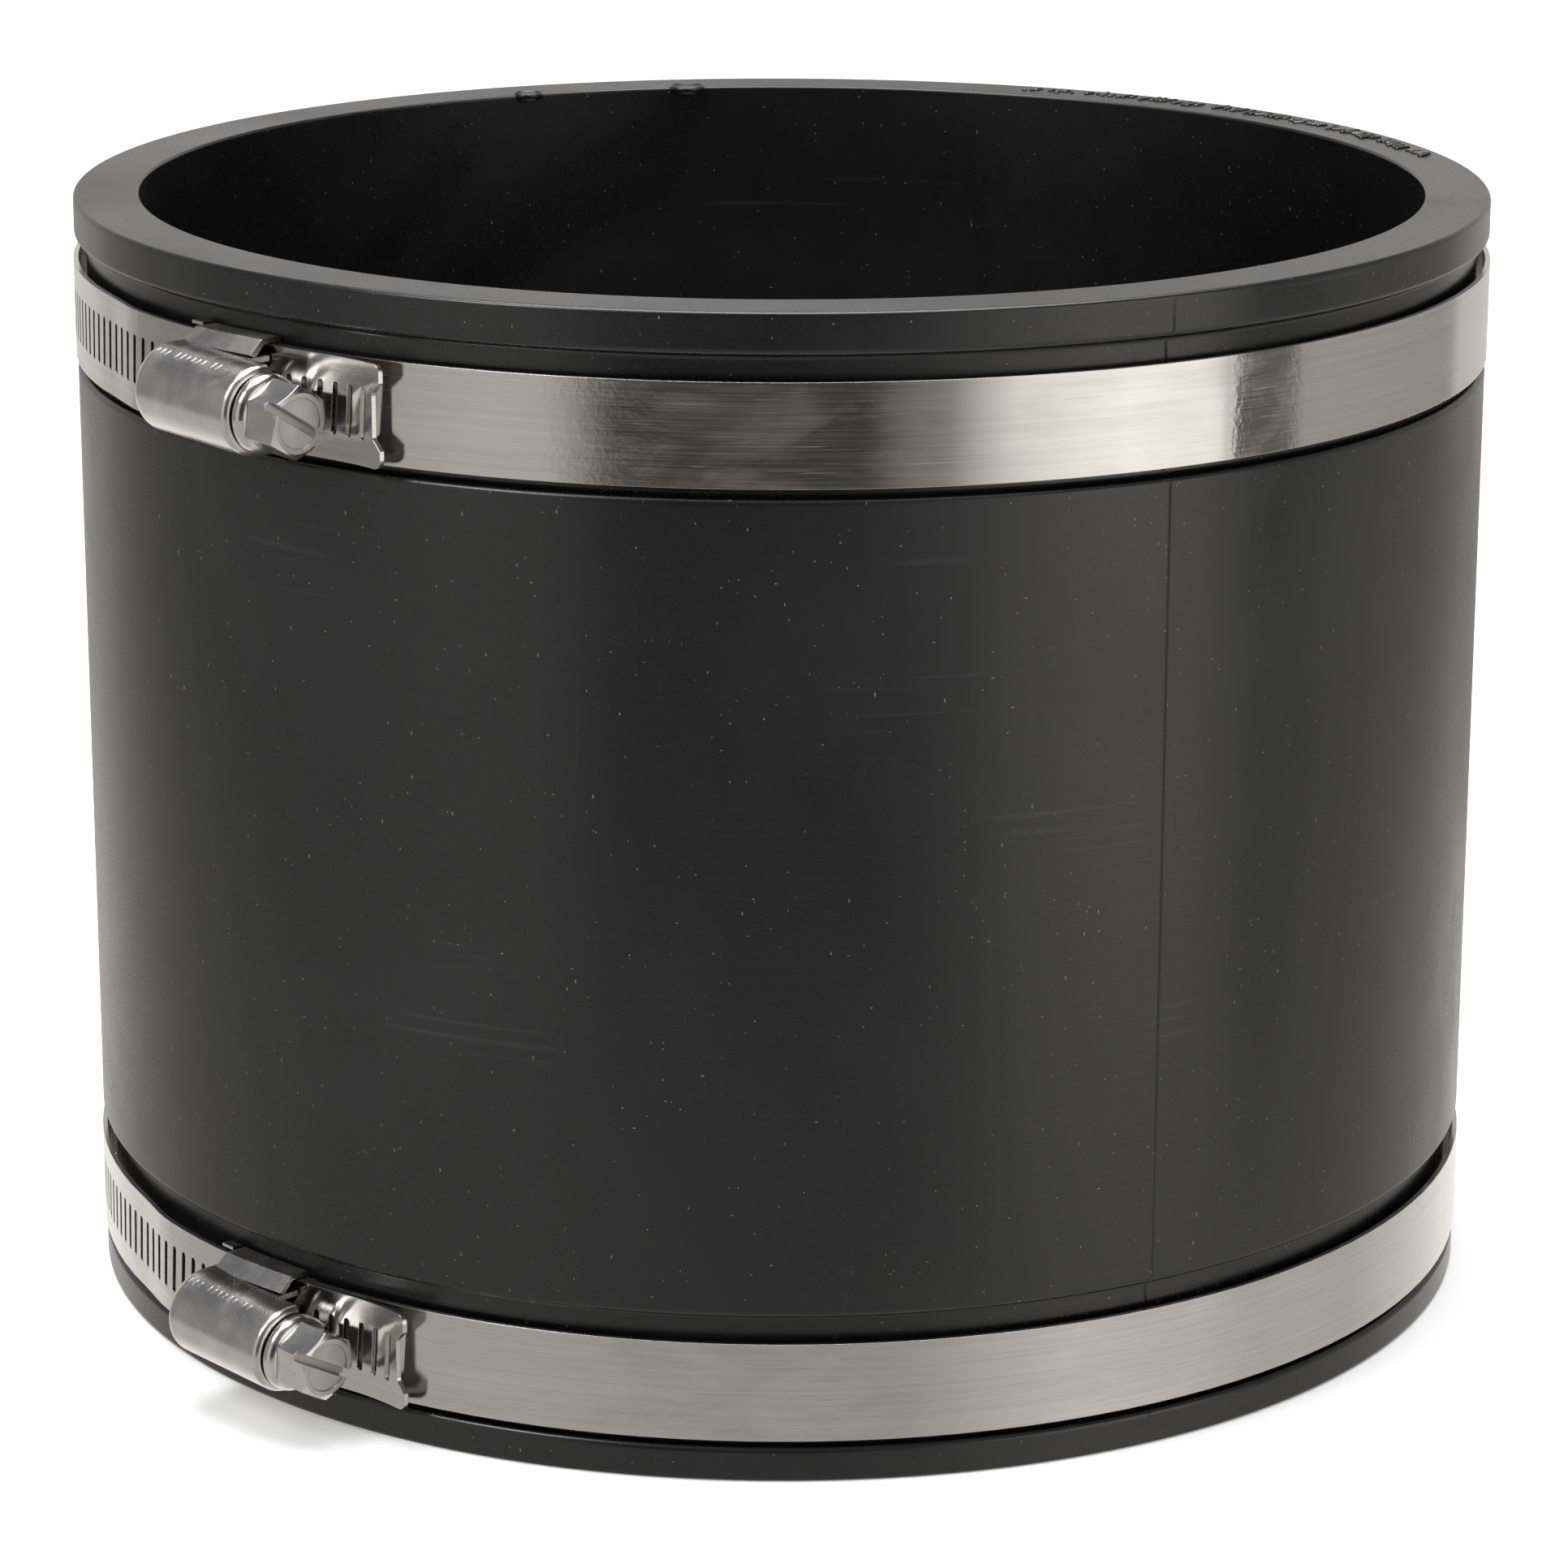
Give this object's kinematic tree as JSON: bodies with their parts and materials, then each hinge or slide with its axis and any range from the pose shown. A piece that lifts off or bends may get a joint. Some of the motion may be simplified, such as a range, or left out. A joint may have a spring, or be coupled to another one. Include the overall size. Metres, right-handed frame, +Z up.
{
  "type": "pipe coupling",
  "caption": "Short thick-walled rubber sleeve that joins two plain pipe ends, gripped near each end by a worm-drive clamp in a groove.",
  "frame": {"origin": "on the bore axis, half-way between the two end faces", "axes": "+Z up along the bore, -Y towards the side that shows both screw heads to the left, +X to the right of that side"},
  "size_m": [0.1864, 0.1864, 0.146],
  "materials": {
    "rubber": "satin moulded rubber with faint scuffs",
    "strap_steel": "rolled stainless strip, brushed along its length",
    "housing_steel": "bright pressed stainless",
    "screw_steel": "bright machined stainless"
  },
  "bodies": {
    "sleeve_body": {"sleeve": "rubber"},
    "upper_clamp": {"upper_housing": "housing_steel", "upper_saddle": "strap_steel"},
    "upper_strap": {"upper_band": "strap_steel"},
    "upper_worm": {"upper_screw": "screw_steel"},
    "lower_clamp": {"lower_housing": "housing_steel", "lower_saddle": "strap_steel"},
    "lower_strap": {"lower_band": "strap_steel"},
    "lower_worm": {"lower_screw": "screw_steel"}
  },
  "joints": [
    {"name": "upper_clamp_turn", "type": "hinge", "parent": "sleeve_body", "child": "upper_clamp", "pos_m": [0, 0, 0.0582], "axis": [0, 0, 1], "continuous": true},
    {"name": "upper_screw_turn", "type": "hinge", "parent": "upper_clamp", "child": "upper_worm", "pos_m": [-0.06772, -0.07111, 0.0579], "axis": [-0.699, 0.7138, 0.0436], "range_deg": [-720, 1800]},
    {"name": "upper_band_feed", "type": "hinge", "parent": "upper_clamp", "child": "upper_strap", "pos_m": [0, 0, 0.0582], "axis": [0, 0, 1], "range_deg": [-3.11, 7.7]},
    {"name": "lower_clamp_turn", "type": "hinge", "parent": "sleeve_body", "child": "lower_clamp", "pos_m": [0, 0, -0.0612], "axis": [0, 0, 1], "continuous": true},
    {"name": "lower_screw_turn", "type": "hinge", "parent": "lower_clamp", "child": "lower_worm", "pos_m": [-0.06697, -0.07182, -0.0615], "axis": [-0.7064, 0.7065, 0.0436], "range_deg": [-720, 1800]},
    {"name": "lower_band_feed", "type": "hinge", "parent": "lower_clamp", "child": "lower_strap", "pos_m": [0, 0, -0.0612], "axis": [0, 0, 1], "range_deg": [-3.11, 7.7]}
  ],
  "couplings": [
    {"joint": "upper_band_feed", "follows": "upper_screw_turn", "ratio": 0.0042475},
    {"joint": "lower_band_feed", "follows": "lower_screw_turn", "ratio": 0.0042475}
  ]
}
